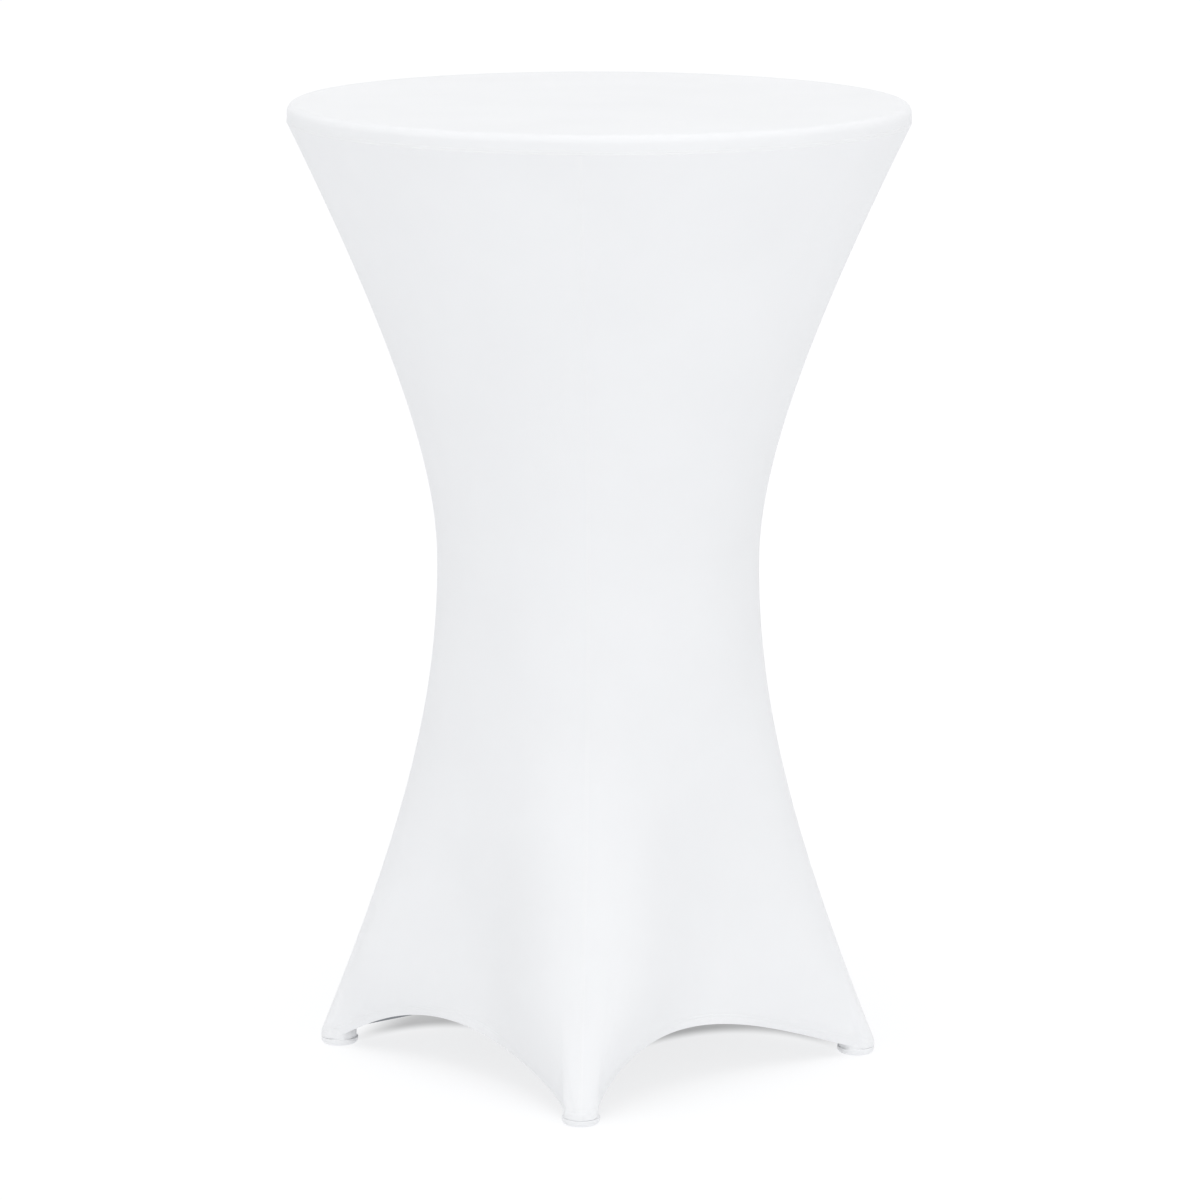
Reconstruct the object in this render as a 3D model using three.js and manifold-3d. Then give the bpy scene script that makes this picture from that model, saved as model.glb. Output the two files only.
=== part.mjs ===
// A stretch-fabric cover fitted on a round bar table, with the table that holds it in shape.
// Millimetres, +Z up. The origin is on the floor under the column. The four feet stand on the axes:
// front is -Y, right is +X, back is +Y and left is -X. Positive azimuths turn from +X towards +Y.

import * as THREE from "three";
import { mergeVertices } from "three/addons/utils/BufferGeometryUtils.js";
import Module from "manifold-3d";

const wasm = await Module();
wasm.setup();

// ---- driving dimensions ----

// Table
const TABLE_HEIGHT = 1100; // bare table, levelling feet screwed home
const TOP_RADIUS = 350;
const TOP_THICKNESS = 24;
const TOP_EDGE_ROUND = 9;
const COLUMN_RADIUS = 30;
const COLUMN_WALL = 2;
const HUB_RADIUS = 55;
const HUB_BOTTOM = 72;
const HUB_TOP = 116;
const ARM_WIDTH = 28;
const ARM_WALL = 3;
const ROD_RADIUS = 5;
const SCREW_CIRCLE = 112;

// Cover
const FABRIC = 1; // cloth thickness
const WAIST_RADIUS = 184; // outside, at the narrowest level
const WAIST_HEIGHT = 588;
const FLARE_UP = 0.5651; // slope of the skirt far above the waist
const FLARE_DOWN = 0.4802; // the same far below it, over a foot
const ROUND_UP = 1.728; // how sharply the waist turns into the flare
const ROUND_DOWN = 2.1846;
const SEAM_WIDTH = 5;
const SEAM_PROUD = 0.3;
const RIM_SEAM_HEIGHT = 4;
const HEM_DEPTH = 13;
const HEM_THICKNESS = 0.8;
const POCKET_RIM = 7.6; // top of the foot pockets
const POCKET_RADIUS = 21.5;
const POCKET_CORNER = 4;
const NOSE_HEIGHT = 14; // below this level the skirt falls straight down over a foot
const SOLE_THICKNESS = 1.5;
const SOLE_RADIUS = 18.5;

// Levelling feet
const STUD_RADIUS = 4.85; // M10 thread
const PAD_RADIUS = 18.5;
const PAD_HEIGHT = 6.5;

const GAP = 0.3; // between touching pieces
const HEM_FOOT = POCKET_RIM + 0.4; // lowest point of the skirt, at a pocket
const HEX_LARGE = 17; // across the flats of the nuts
const HEX_SMALL = 13; // and of the studs' own hexagons

// The hem between two feet is an arch. It is drawn in from the straight line between the pockets,
// and its top leans a little to one side because the cover sits slightly turned on the table.
const HEM_DRAW = 41.8;
const HEM_BEND = 0.57; // how sharply the drawing in starts beside a pocket
const HEM_LEAN = 0.098;
const HEM_POWER = 1.015;
const ARCHES = [
  { name: "back_right", azimuth: 0, rise: 57 },
  { name: "back_left", azimuth: 90, rise: 57 },
  { name: "front_left", azimuth: 180, rise: 51.5 },
  { name: "front_right", azimuth: 270, rise: 62 },
];
const FEET = [
  { name: "right", azimuth: 0 },
  { name: "back", azimuth: 90 },
  { name: "left", azimuth: 180 },
  { name: "front", azimuth: 270 },
];

// ---- levels that follow from the driving dimensions ----

const PAD_BOTTOM = SOLE_THICKNESS + GAP + FABRIC + GAP;
const BOARD_TOP = PAD_BOTTOM + TABLE_HEIGHT;
const BOARD_BOTTOM = BOARD_TOP - TOP_THICKNESS;
const RIM_SEAM_BOTTOM = BOARD_BOTTOM + 3.4;
const SKIRT_TOP = RIM_SEAM_BOTTOM - GAP - FABRIC / 2; // the sloping edge stands half its thickness up
const FOOT_RADIUS = footLineRadius(NOSE_HEIGHT) - POCKET_RADIUS;
const HEM_SIDE = POCKET_RADIUS - 1; // how far to each side of a foot the arches start
const NOSE_TURN = Math.atan2(HEM_SIDE, FOOT_RADIUS);
const SECTION_POWER = 7; // how low down the skirt takes the hem's shape
const ARM_UNDERSIDE = 22;

// ---- finishes ----

const CLOTH = { color: 0xf1f2f4, roughness: 0.88, metalness: 0 };
const THREAD = { color: 0xe9eaec, roughness: 0.8, metalness: 0 };
const ELASTIC = { color: 0xe6e7ea, roughness: 0.9, metalness: 0 };
const SOLE = { color: 0xd9dadc, roughness: 0.7, metalness: 0 };
const LAMINATE = { color: 0xdcd8d0, roughness: 0.5, metalness: 0 };
const STEEL = { color: 0xb9bcc0, roughness: 0.35, metalness: 1 };
const CHROME = { color: 0xd6d8db, roughness: 0.15, metalness: 1 };
const PAINT = { color: 0x8d9095, roughness: 0.45, metalness: 0.3 };
const PLASTIC = { color: 0x2b2c2e, roughness: 0.6, metalness: 0 };

// ---- helpers ----

function radians(degrees) {
  return (degrees * Math.PI) / 180;
}

// A closed body with shared corners, no empty triangles, and its faces pointing out.
function closedSolid(geometry) {
  const bare = geometry.clone();
  bare.deleteAttribute("normal");
  bare.deleteAttribute("uv");
  const merged = mergeVertices(bare, 1e-3);
  const corners = merged.attributes.position.array;
  const faces = [];
  let volume = 0;
  for (let i = 0; i < merged.index.count; i += 3) {
    const face = [0, 1, 2].map((k) => merged.index.array[i + k]);
    if (new Set(face).size < 3) continue;
    const [a, b, c] = face.map((v) => new THREE.Vector3().fromArray(corners, v * 3));
    volume += a.dot(b.cross(c));
    faces.push(face);
  }
  merged.setIndex(faces.flatMap(([a, b, c]) => (volume < 0 ? [a, c, b] : [a, b, c])));
  return merged;
}

function toManifold(geometry) {
  const closed = closedSolid(geometry);
  return new wasm.Manifold(
    new wasm.Mesh({
      numProp: 3,
      vertProperties: new Float32Array(closed.attributes.position.array),
      triVerts: new Uint32Array(closed.index.array),
    }),
  );
}

function fromManifold(solid) {
  const mesh = solid.getMesh();
  const geometry = new THREE.BufferGeometry();
  geometry.setAttribute("position", new THREE.BufferAttribute(mesh.vertProperties, 3));
  geometry.setIndex(new THREE.BufferAttribute(mesh.triVerts, 1));
  return geometry;
}

function subtract(geometry, ...cutters) {
  return fromManifold(cutters.reduce((rest, c) => rest.subtract(toManifold(c)), toManifold(geometry)));
}

function intersect(first, second) {
  return fromManifold(toManifold(first).intersect(toManifold(second)));
}

function join(first, second) {
  return fromManifold(toManifold(first).add(toManifold(second)));
}

// A body of revolution about +Z from [radius, height] points.
function turned(points, segments = 24) {
  const profile = points.map(([radius, height]) => new THREE.Vector2(radius, height));
  return closedSolid(new THREE.LatheGeometry(profile, segments).rotateX(Math.PI / 2));
}

function disc(radius, bottom, top, segments) {
  const points = [[0, bottom], [radius, bottom], [radius, top], [0, top]];
  return turned(points, segments);
}

function ring(inner, outer, bottom, top, segments) {
  const points = [[inner, bottom], [outer, bottom], [outer, top], [inner, top], [inner, bottom]];
  return turned(points, segments);
}

// A flat outline in X and Y, raised from bottom to top.
function raised(outline, bottom, top) {
  const depth = top - bottom;
  return new THREE.ExtrudeGeometry(outline, { depth, bevelEnabled: false, curveSegments: 6 })
    .translate(0, 0, bottom);
}

// A side view in X and Z, given a width across Y.
function sideways(points, width) {
  const outline = new THREE.Shape(points.map(([x, z]) => new THREE.Vector2(x, z)));
  return new THREE.ExtrudeGeometry(outline, { depth: width, bevelEnabled: false })
    .rotateX(Math.PI / 2)
    .translate(0, width / 2, 0);
}

function hexagon(acrossFlats) {
  const corner = acrossFlats / Math.sqrt(3);
  const corners = [0, 1, 2, 3, 4, 5].map((k) => radians(60 * k));
  return new THREE.Shape(corners.map((a) => new THREE.Vector2(corner * Math.cos(a), corner * Math.sin(a))));
}

function hexNut(acrossFlats, bore, bottom, top) {
  const outline = hexagon(acrossFlats);
  outline.holes.push(new THREE.Path().absarc(0, 0, bore, 0, 2 * Math.PI, true));
  return raised(outline, bottom, top);
}

function part(parent, name, geometry, finish) {
  const closed = closedSolid(geometry);
  closed.computeVertexNormals();
  const mesh = new THREE.Mesh(closed, new THREE.MeshStandardMaterial(finish));
  mesh.name = name;
  parent.add(mesh);
}

// A closed shell from a grid of outer points and the inner points behind them.
function shell(rows, columns, outerPoint, innerPoint) {
  const points = [];
  for (const place of [outerPoint, innerPoint]) {
    for (const row of rows) {
      for (const column of columns) points.push(...place(row, column).toArray());
    }
  }
  const width = columns.length;
  const layer = rows.length * width;
  const outer = (i, j) => i * width + j;
  const inner = (i, j) => layer + i * width + j;
  const faces = [];
  const quad = (a, b, c, d) => faces.push(a, b, c, a, c, d);
  const lastRow = rows.length - 1;
  const lastColumn = width - 1;
  for (let i = 0; i < lastRow; i += 1) {
    for (let j = 0; j < lastColumn; j += 1) {
      quad(outer(i, j), outer(i + 1, j), outer(i + 1, j + 1), outer(i, j + 1));
      quad(inner(i, j), inner(i, j + 1), inner(i + 1, j + 1), inner(i + 1, j));
    }
    quad(outer(i, 0), inner(i, 0), inner(i + 1, 0), outer(i + 1, 0));
    quad(outer(i, lastColumn), outer(i + 1, lastColumn), inner(i + 1, lastColumn), inner(i, lastColumn));
  }
  for (let j = 0; j < lastColumn; j += 1) {
    quad(outer(0, j), outer(0, j + 1), inner(0, j + 1), inner(0, j));
    quad(outer(lastRow, j), inner(lastRow, j), inner(lastRow, j + 1), outer(lastRow, j + 1));
  }
  const geometry = new THREE.BufferGeometry();
  geometry.setAttribute("position", new THREE.Float32BufferAttribute(points, 3));
  geometry.setIndex(faces);
  return geometry;
}

// ---- the skirt's surface ----

// Outside radius of the skirt over a foot: two flares that meet in a round waist, and a short
// upright stretch at the bottom.
function footLineRadius(height) {
  const above = height > WAIST_HEIGHT;
  const flare = above ? FLARE_UP : FLARE_DOWN;
  const round = above ? ROUND_UP : ROUND_DOWN;
  const flared = flare * Math.abs(Math.max(height, NOSE_HEIGHT) - WAIST_HEIGHT);
  return (WAIST_RADIUS ** round + flared ** round) ** (1 / round);
}

// A point of the hem at a fraction of the way from one pocket to the next, on the arch's own axes.
function hemPoint(arch, fraction) {
  const bow = 4 * fraction * (1 - fraction);
  const drawn = (HEM_DRAW * bow ** HEM_BEND) / Math.SQRT2;
  const leaned = fraction + HEM_LEAN * bow;
  const height = HEM_FOOT + arch.rise * (4 * leaned * (1 - leaned)) ** HEM_POWER;
  const x = FOOT_RADIUS * (1 - fraction) + HEM_SIDE * fraction - drawn;
  const y = HEM_SIDE * (1 - fraction) + FOOT_RADIUS * fraction - drawn;
  return { turn: Math.atan2(y, x), radius: Math.hypot(x, y), height };
}

// The hem's radius and height at a turn from the arch's first foot: the pocket's nose, then the arch.
function hemAt(arch, turn) {
  const nearestFoot = Math.min(turn, Math.PI / 2 - turn);
  if (nearestFoot <= NOSE_TURN) return { radius: noseRadius(nearestFoot, HEM_FOOT), height: HEM_FOOT };
  let low = 0;
  let high = 1;
  for (let i = 0; i < 40; i += 1) {
    const middle = (low + high) / 2;
    if (hemPoint(arch, middle).turn < turn) low = middle;
    else high = middle;
  }
  return hemPoint(arch, low);
}

// Radius of the round nose that the fabric makes over a foot's edge, seen from above.
function noseRadius(turn, height) {
  const centre = footLineRadius(height) - POCKET_RADIUS;
  const across = Math.abs(centre * Math.sin(turn));
  if (across >= POCKET_RADIUS) return 0;
  return centre * Math.cos(turn) + Math.sqrt(POCKET_RADIUS ** 2 - across ** 2);
}

// A point of the skirt: turn is the angle from the arch's first foot, and fall runs from 0 at the
// rim to 1 at the waist and 2 at the hem. Below the waist the round section turns by degrees into
// the hem's four-pointed one.
function skirtPoint(arch, turn, fall) {
  const azimuth = radians(arch.azimuth) + turn;
  let height = SKIRT_TOP + (WAIST_HEIGHT - SKIRT_TOP) * fall;
  let radius = footLineRadius(height);
  if (fall > 1) {
    const below = fall - 1;
    const hem = hemAt(arch, turn);
    height = WAIST_HEIGHT + (hem.height - WAIST_HEIGHT) * below;
    const level = WAIST_HEIGHT + (HEM_FOOT - WAIST_HEIGHT) * below;
    const footSpread = footLineRadius(level) - WAIST_RADIUS;
    const fullSpread = footLineRadius(HEM_FOOT) - WAIST_RADIUS;
    const midSpread = (hemPoint(arch, 0.5).radius - WAIST_RADIUS) * (footSpread / fullSpread);
    const soft = midSpread + (footSpread - midSpread) * ((1 + Math.cos(4 * turn)) / 2) ** (1 + below);
    const sharp = (hem.radius - WAIST_RADIUS) * (footSpread / fullSpread);
    const share = below ** SECTION_POWER;
    const radiusHere = WAIST_RADIUS + soft * (1 - share) + sharp * share;
    const nearestFoot = Math.min(turn, Math.PI / 2 - turn);
    radius = Math.max(radiusHere, noseRadius(nearestFoot, height));
  }
  return new THREE.Vector3(radius * Math.cos(azimuth), radius * Math.sin(azimuth), height);
}

// The same point moved in from the outer face by depth, square to the cloth.
function insetPoint(arch, turn, fall, depth) {
  const step = 0.004;
  const across = skirtPoint(arch, turn + step, fall).sub(skirtPoint(arch, turn - step, fall));
  const down = skirtPoint(arch, turn, Math.min(fall + step, 2));
  down.sub(skirtPoint(arch, turn, Math.max(fall - step, 0)));
  const outward = down.cross(across).normalize();
  return skirtPoint(arch, turn, fall).addScaledVector(outward, -depth);
}

// Turn angle at a fraction of the panel's width, clear of the seam strips at both sides.
function panelTurn(fraction, fall, clear) {
  const level = fall > 1 ? WAIST_HEIGHT + (HEM_FOOT - WAIST_HEIGHT) * (fall - 1)
    : SKIRT_TOP + (WAIST_HEIGHT - SKIRT_TOP) * fall;
  const margin = Math.asin(clear / footLineRadius(level));
  return margin + fraction * (Math.PI / 2 - 2 * margin);
}

// Turns of the columns of a panel or tape: two over the pocket's nose, then along the arch.
const HALF_ARCH = [0, 0.05, 0.11, 0.18, 0.26, 0.34, 0.42];
const HALF_TURNS = [0, NOSE_TURN / 2, ...HALF_ARCH.map((f) => hemPoint(ARCHES[0], f).turn)];
const PANEL_FRACTIONS = [
  ...HALF_TURNS.map((turn) => turn / (Math.PI / 2)),
  0.5,
  ...HALF_TURNS.map((turn) => 1 - turn / (Math.PI / 2)).reverse(),
];
const PANEL_FALLS = [0, 0.16, 0.33, 0.5, 0.67, 0.84, 1, 1.15, 1.3, 1.45, 1.6, 1.74, 1.87, 1.94, 1.99, 2];

function sidePanel(arch) {
  const clear = SEAM_WIDTH / 2 + GAP;
  const at = (depth) => (fall, fraction) =>
    insetPoint(arch, panelTurn(fraction, fall, clear), fall, depth);
  return shell(PANEL_FALLS, PANEL_FRACTIONS, at(0), at(FABRIC));
}

// The flat seam over a foot, from the rim seam down to the pocket.
function verticalSeam(arch) {
  const at = (depth) => (fall, side) => {
    const turn = panelTurn(0, fall, SEAM_WIDTH / 2) * Math.abs(side);
    const point = insetPoint(arch, turn, fall, depth);
    const azimuth = radians(arch.azimuth);
    if (side >= 0) return point;
    return point.applyAxisAngle(new THREE.Vector3(0, 0, 1), -azimuth)
      .multiply(new THREE.Vector3(1, -1, 1))
      .applyAxisAngle(new THREE.Vector3(0, 0, 1), azimuth);
  };
  return shell(PANEL_FALLS, [-1, 0, 1], at(-SEAM_PROUD), at(FABRIC));
}

// Elastic tape inside the turned hem, following the arch from pocket to pocket.
function hemTape(arch) {
  const clear = SEAM_WIDTH / 2 + GAP;
  const at = (depth) => (rise, fraction) => {
    const turn = panelTurn(fraction, 2, clear);
    const drop = WAIST_HEIGHT - hemAt(arch, turn).height;
    return insetPoint(arch, turn, 2 - rise / drop, depth);
  };
  const rises = [HEM_DEPTH, 0.6];
  const face = FABRIC + 3 * GAP;
  return shell(rises, PANEL_FRACTIONS.slice(2, -2), at(face), at(face + HEM_THICKNESS));
}

// ---- the cover's turned pieces ----

function quarterRound(centreRadius, centreHeight, radius, from, to, steps) {
  const points = [];
  for (let i = 0; i <= steps; i += 1) {
    const angle = radians(from + ((to - from) * i) / steps);
    points.push([centreRadius + radius * Math.cos(angle), centreHeight + radius * Math.sin(angle)]);
  }
  return points;
}

const RIM_SEGMENTS = 48;
const FOOT_SEGMENTS = 16;

// Round top of the cover: flat over the board, rolled over its edge and down to the rim seam.
function topPanel() {
  const centreRadius = TOP_RADIUS - TOP_EDGE_ROUND;
  const centreHeight = BOARD_TOP - TOP_EDGE_ROUND;
  const inside = TOP_EDGE_ROUND + GAP;
  const outside = inside + FABRIC;
  const lowest = RIM_SEAM_BOTTOM + RIM_SEAM_HEIGHT + GAP;
  const points = [
    [0, centreHeight + inside],
    ...quarterRound(centreRadius, centreHeight, inside, 90, 0, 3),
    [centreRadius + inside, lowest],
    [centreRadius + outside, lowest],
    ...quarterRound(centreRadius, centreHeight, outside, 0, 90, 3),
    [0, centreHeight + outside],
  ];
  return turned(points, RIM_SEGMENTS);
}

function rimSeam() {
  const inner = TOP_RADIUS + GAP;
  const outer = inner + FABRIC + SEAM_PROUD;
  return ring(inner, outer, RIM_SEAM_BOTTOM, RIM_SEAM_BOTTOM + RIM_SEAM_HEIGHT, RIM_SEGMENTS);
}

// Cup sewn at the foot of a seam, which hooks round the levelling pad.
function footPocket() {
  const floor = SOLE_THICKNESS + GAP;
  const centreRadius = POCKET_RADIUS - POCKET_CORNER;
  const centreHeight = floor + POCKET_CORNER;
  const points = [
    [0, floor],
    ...quarterRound(centreRadius, centreHeight, POCKET_CORNER, -90, 0, 2),
    [POCKET_RADIUS, POCKET_RIM],
    [POCKET_RADIUS - FABRIC, POCKET_RIM],
    ...quarterRound(centreRadius, centreHeight, POCKET_CORNER - FABRIC, 0, -90, 2),
    [0, floor + FABRIC],
  ];
  return turned(points, FOOT_SEGMENTS);
}

// ---- the table ----

function tabletop() {
  const centreRadius = TOP_RADIUS - TOP_EDGE_ROUND;
  const points = [
    [0, BOARD_BOTTOM],
    ...quarterRound(centreRadius, BOARD_BOTTOM + TOP_EDGE_ROUND, TOP_EDGE_ROUND, -90, 0, 3),
    ...quarterRound(centreRadius, BOARD_TOP - TOP_EDGE_ROUND, TOP_EDGE_ROUND, 0, 90, 3),
    [0, BOARD_TOP],
  ];
  const pilots = screwPlaces().map(([x, y]) =>
    disc(2.6, BOARD_BOTTOM - 1, BOARD_BOTTOM + 17, 8).translate(x, y, 0));
  return subtract(turned(points, RIM_SEGMENTS), ...pilots);
}

function screwPlaces() {
  const diagonals = [45, 135, 225, 315].map(radians);
  return diagonals.map((a) => [SCREW_CIRCLE * Math.cos(a), SCREW_CIRCLE * Math.sin(a)]);
}

const SPIDER_TOP = BOARD_BOTTOM - GAP;
const SPIDER_THICKNESS = 5;
const SPIDER_BOTTOM = SPIDER_TOP - SPIDER_THICKNESS;
const BOSS_RADIUS = COLUMN_RADIUS - COLUMN_WALL - GAP;
const BOSS_DEPTH = 30;

// Cross-shaped steel plate under the board, with a boss that plugs the column's top.
function topSpider() {
  const bar = new THREE.Shape();
  const half = 24;
  const reach = SCREW_CIRCLE;
  bar.moveTo(-reach, -half);
  bar.lineTo(reach, -half);
  bar.absarc(reach, 0, half, -Math.PI / 2, Math.PI / 2, false);
  bar.lineTo(-reach, half);
  bar.absarc(-reach, 0, half, Math.PI / 2, (3 * Math.PI) / 2, false);
  const first = raised(bar, SPIDER_BOTTOM, SPIDER_TOP).rotateZ(Math.PI / 4);
  const second = first.clone().rotateZ(Math.PI / 2);
  const boss = disc(BOSS_RADIUS, SPIDER_BOTTOM - BOSS_DEPTH, SPIDER_TOP - 1);
  const rodHole = disc(ROD_RADIUS + GAP, SPIDER_BOTTOM - BOSS_DEPTH - 1, SPIDER_TOP - 2, 16);
  const screwHoles = screwPlaces().map(([x, y]) =>
    disc(3, SPIDER_BOTTOM - 1, SPIDER_TOP + 1, 12).translate(x, y, 0));
  return subtract(join(join(first, second), boss), rodHole, ...screwHoles);
}

// Pan-head screw, driven up through the spider into the board.
function topScrew() {
  const head = SPIDER_BOTTOM - GAP;
  const points = [
    [0, head - 3], [3.2, head - 3], [4.8, head - 1.4], [4.8, head],
    [2.2, head], [2.2, BOARD_BOTTOM + 13], [0, BOARD_BOTTOM + 16],
  ];
  return turned(points, 12);
}

function column() {
  const bottom = HUB_TOP + GAP;
  return ring(COLUMN_RADIUS - COLUMN_WALL, COLUMN_RADIUS, bottom, SPIDER_BOTTOM - GAP, 24);
}

// Trim ring that hides the joint between column and hub.
function columnCollar() {
  const inner = COLUMN_RADIUS + GAP;
  const bottom = HUB_TOP + GAP;
  const points = [
    [inner, bottom], [46, bottom], [46, bottom + 3], [42, bottom + 9],
    [35, bottom + 13], [inner, bottom + 14], [inner, bottom],
  ];
  return turned(points, 24);
}

// Turned hub that carries the four arms, with a spigot for the column.
function baseHub() {
  const spigot = HUB_TOP + 24;
  const bore = ROD_RADIUS + GAP;
  const points = [
    [bore, HUB_BOTTOM], [HUB_RADIUS - 3, HUB_BOTTOM], [HUB_RADIUS, HUB_BOTTOM + 3],
    [HUB_RADIUS, HUB_TOP - 3], [HUB_RADIUS - 3, HUB_TOP], [BOSS_RADIUS, HUB_TOP],
    [BOSS_RADIUS, spigot], [bore, spigot], [bore, HUB_BOTTOM],
  ];
  return turned(points, 24);
}

const WASHER_THICKNESS = 2.5;
const NUT_TOP = HUB_BOTTOM - WASHER_THICKNESS - 2 * GAP;

function tieRod() {
  return disc(ROD_RADIUS, NUT_TOP - 12, SPIDER_TOP - 3, 16);
}

function rodWasher() {
  const bottom = HUB_BOTTOM - WASHER_THICKNESS - GAP;
  return ring(ROD_RADIUS + GAP, 15, bottom, HUB_BOTTOM - GAP, 20);
}

function rodNut() {
  return hexNut(HEX_LARGE, ROD_RADIUS + GAP, NUT_TOP - 8, NUT_TOP);
}

// One arm along +X: a pressed channel, open below, that drops from the hub to a solid rounded end.
function baseArm() {
  const end = FOOT_RADIUS + ARM_WIDTH / 2;
  const inner = HUB_RADIUS - 8;
  const side = [
    [inner, HUB_BOTTOM + 4], [inner, HUB_TOP - 5], [FOOT_RADIUS - 9, 43], [FOOT_RADIUS + 2, 35],
    [FOOT_RADIUS + 9, 28], [end, 24], [end, ARM_UNDERSIDE], [FOOT_RADIUS - 16, ARM_UNDERSIDE],
  ];
  const hollow = [
    [inner - 5, HUB_BOTTOM - 40], [inner - 5, HUB_TOP - 5 - ARM_WALL],
    [FOOT_RADIUS - 16, 43 - ARM_WALL], [FOOT_RADIUS - 16, -20],
  ];
  const plan = new THREE.Shape();
  plan.moveTo(0, -ARM_WIDTH / 2);
  plan.lineTo(FOOT_RADIUS, -ARM_WIDTH / 2);
  plan.absarc(FOOT_RADIUS, 0, ARM_WIDTH / 2, -Math.PI / 2, Math.PI / 2, false);
  plan.lineTo(0, ARM_WIDTH / 2);
  const blank = intersect(sideways(side, ARM_WIDTH + 2), raised(plan, 0, HUB_TOP));
  const hubRoom = disc(HUB_RADIUS + GAP, 0, HUB_TOP + 20, 24);
  const insertHole = disc(INSERT_RADIUS + GAP, 0, HUB_TOP, 16).translate(FOOT_RADIUS, 0, 0);
  return subtract(blank, sideways(hollow, ARM_WIDTH - 2 * ARM_WALL), hubRoom, insertHole);
}

// ---- a levelling foot, on its own axis ----

const INSERT_RADIUS = 7.5;
const STUD_BOTTOM = PAD_BOTTOM + 2.5;
const FLANGE_BOTTOM = PAD_BOTTOM + PAD_HEIGHT + 2 * GAP;
const FLANGE_TOP = FLANGE_BOTTOM + 4.5;
const LOCK_NUT_BOTTOM = FLANGE_TOP + GAP;

function levellerInsert() {
  return ring(STUD_RADIUS + GAP, INSERT_RADIUS, ARM_UNDERSIDE + GAP, 36, 16);
}

function lockNut() {
  return hexNut(HEX_LARGE, STUD_RADIUS + GAP, LOCK_NUT_BOTTOM, ARM_UNDERSIDE - GAP);
}

// Threaded stud with a hexagon to turn it by; its blunt end sits in the pad.
function levellerStud() {
  const shank = disc(STUD_RADIUS, STUD_BOTTOM, 48, 16);
  return join(shank, raised(hexagon(HEX_SMALL), FLANGE_BOTTOM, FLANGE_TOP));
}

function levellerPad() {
  const socket = STUD_RADIUS + GAP;
  const top = PAD_BOTTOM + PAD_HEIGHT;
  const points = [
    [0, PAD_BOTTOM], [PAD_RADIUS - 2.5, PAD_BOTTOM], [PAD_RADIUS - 0.4, PAD_BOTTOM + 1.6],
    [PAD_RADIUS - 0.4, PAD_BOTTOM + 3.5], [10, top], [socket, top],
    [socket, STUD_BOTTOM - GAP], [0, STUD_BOTTOM - GAP],
  ];
  return turned(points, FOOT_SEGMENTS);
}

// ---- assembly ----

const cover = new THREE.Group();
part(cover, "top_panel", topPanel(), CLOTH);
part(cover, "rim_seam", rimSeam(), THREAD);
for (const arch of ARCHES) {
  part(cover, `side_panel_${arch.name}`, sidePanel(arch), CLOTH);
  part(cover, `hem_tape_${arch.name}`, hemTape(arch), ELASTIC);
}
FEET.forEach((foot, i) => part(cover, `seam_${foot.name}`, verticalSeam(ARCHES[i]), THREAD));

const table = new THREE.Group();
part(table, "tabletop", tabletop(), LAMINATE);
part(table, "top_spider", topSpider(), STEEL);
screwPlaces().forEach(([x, y], i) => {
  part(table, `top_screw_${i + 1}`, topScrew().translate(x, y, 0), STEEL);
});
part(table, "column", column(), CHROME);
part(table, "column_collar", columnCollar(), CHROME);
part(table, "base_hub", baseHub(), PAINT);
part(table, "tie_rod", tieRod(), STEEL);
part(table, "rod_washer", rodWasher(), STEEL);
part(table, "rod_nut", rodNut(), STEEL);

const feet = new THREE.Group();
for (const { name, azimuth } of FEET) {
  const arm = new THREE.Group();
  arm.rotation.z = radians(azimuth);
  part(arm, `base_arm_${name}`, baseArm(), PAINT);
  const foot = new THREE.Group();
  foot.position.x = FOOT_RADIUS;
  part(foot, `leveller_insert_${name}`, levellerInsert(), STEEL);
  part(foot, `lock_nut_${name}`, lockNut(), STEEL);
  part(foot, `leveller_stud_${name}`, levellerStud(), STEEL);
  part(foot, `leveller_pad_${name}`, levellerPad(), PLASTIC);
  part(foot, `foot_pocket_${name}`, footPocket(), CLOTH);
  part(foot, `pocket_sole_${name}`, disc(SOLE_RADIUS, 0, SOLE_THICKNESS, FOOT_SEGMENTS), SOLE);
  arm.add(foot);
  feet.add(arm);
}

const coveredTable = new THREE.Group();
coveredTable.add(cover, table, feet);

export default coveredTable;
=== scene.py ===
"""Stretch cover on a round bar table: the looks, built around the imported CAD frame.

Metres, +Z up, origin on the floor under the column. The feet stand on the axes: front is -Y, right is +X,
back is +Y and left is -X.
"""
import math

import bmesh
import bpy
import numpy as np
from mathutils import Euler, Matrix, Vector


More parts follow.
